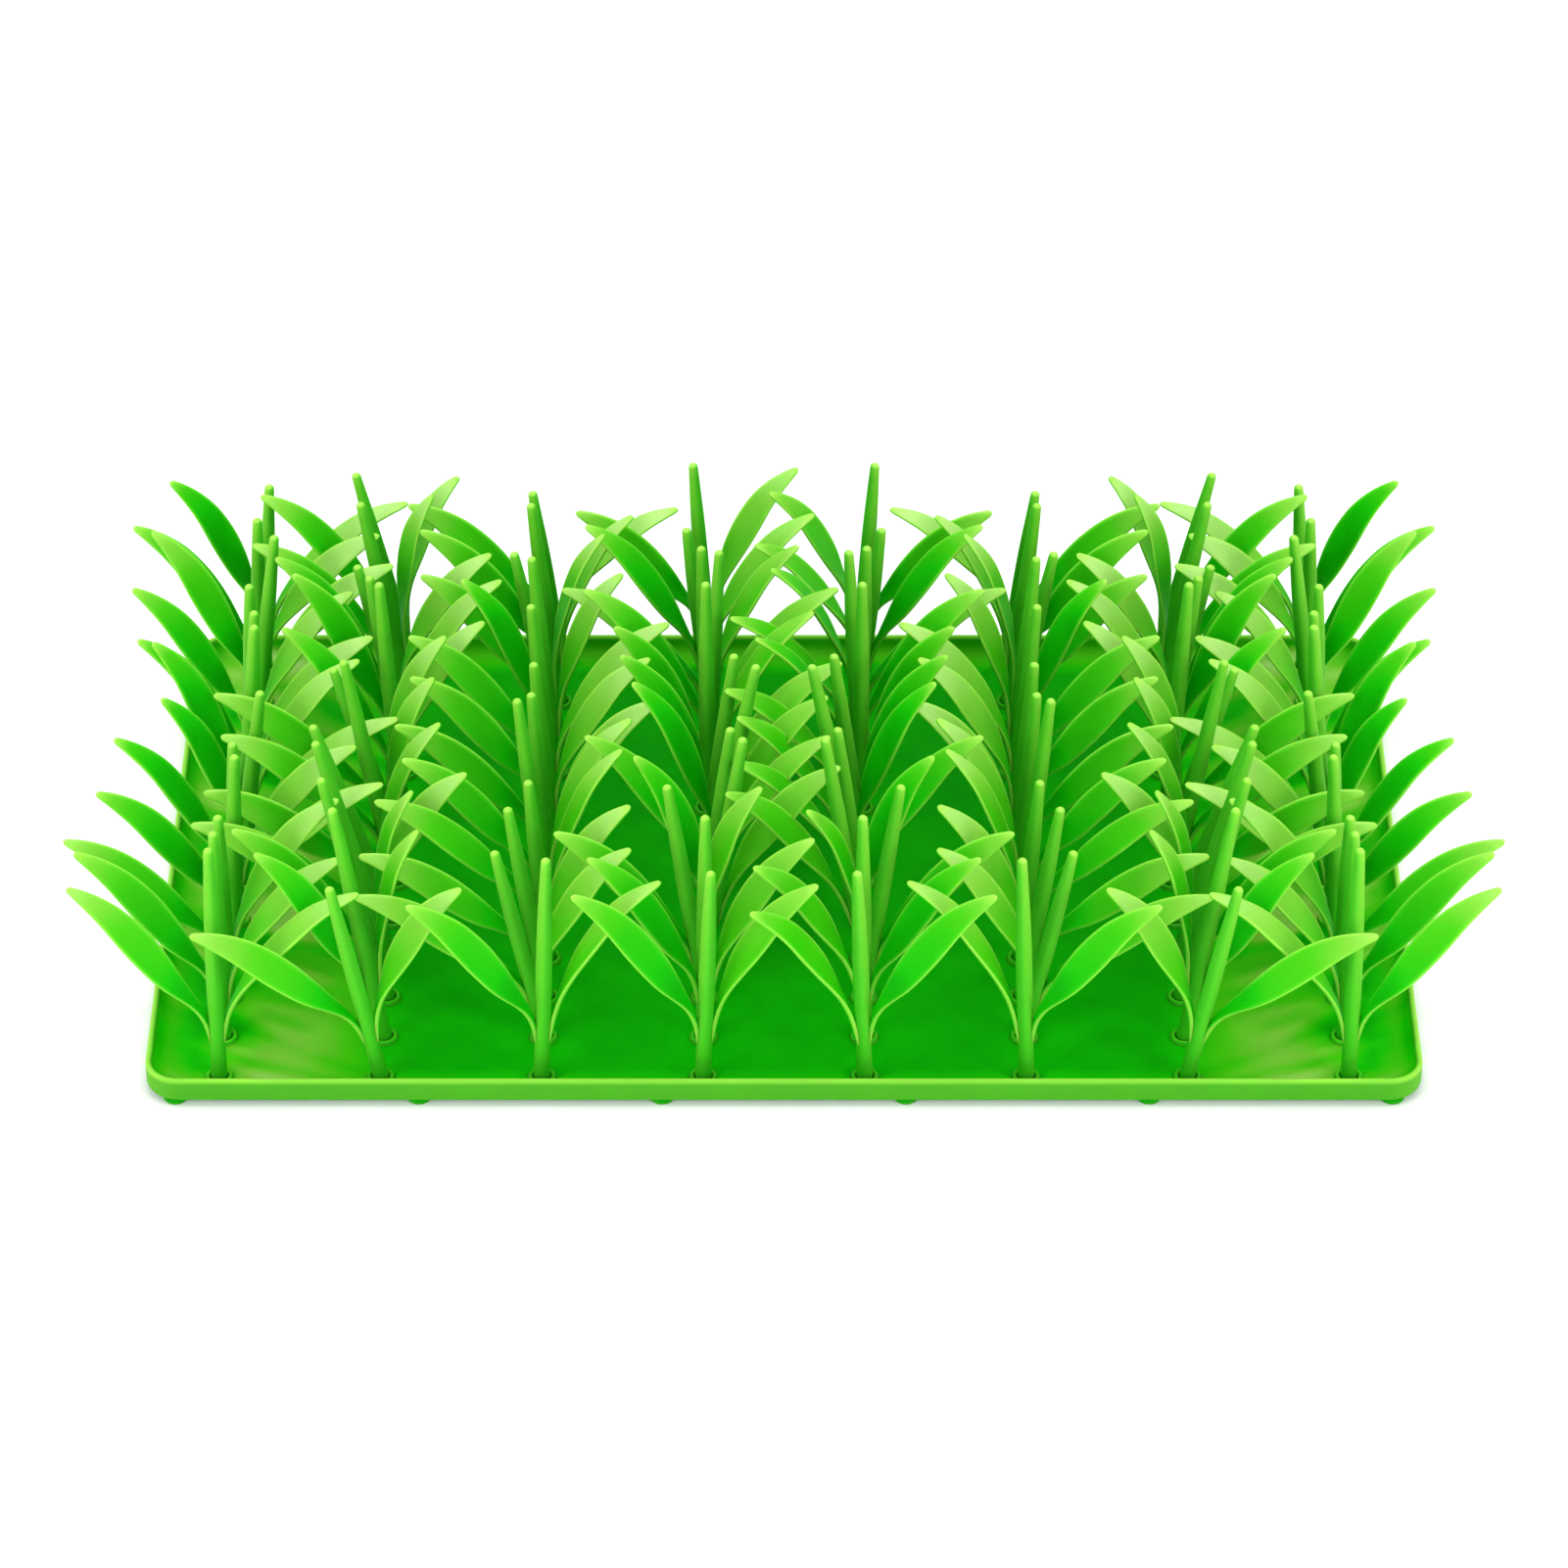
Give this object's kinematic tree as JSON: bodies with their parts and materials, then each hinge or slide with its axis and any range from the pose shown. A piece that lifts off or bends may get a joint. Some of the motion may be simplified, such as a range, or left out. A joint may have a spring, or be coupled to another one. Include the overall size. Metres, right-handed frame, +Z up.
{
  "type": "silicone snuffle mat",
  "caption": "Shallow silicone tray on low feet with rows of upright silicone grass, in which dry pet food is scattered for a dog or cat to sniff out.",
  "frame": {"origin": "on the ground under the middle of the tray, at the bottom of the feet", "axes": "+X along the long side, +Y from the front long side to the back one, +Z up along the grass"},
  "size_m": [0.4504, 0.2388, 0.0936],
  "materials": {
    "tray_silicone": "satin moulded silicone",
    "grass_silicone": "satin moulded silicone"
  },
  "bodies": {
    "root": {"tray": "tray_silicone", "grass_row_01": "grass_silicone", "grass_row_02": "grass_silicone", "grass_row_03": "grass_silicone", "grass_row_04": "grass_silicone", "grass_row_05": "grass_silicone", "grass_row_06": "grass_silicone", "grass_row_07": "grass_silicone", "grass_row_08": "grass_silicone", "grass_row_09": "grass_silicone", "grass_row_10": "grass_silicone", "grass_row_11": "grass_silicone", "grass_row_12": "grass_silicone"}
  },
  "joints": []
}
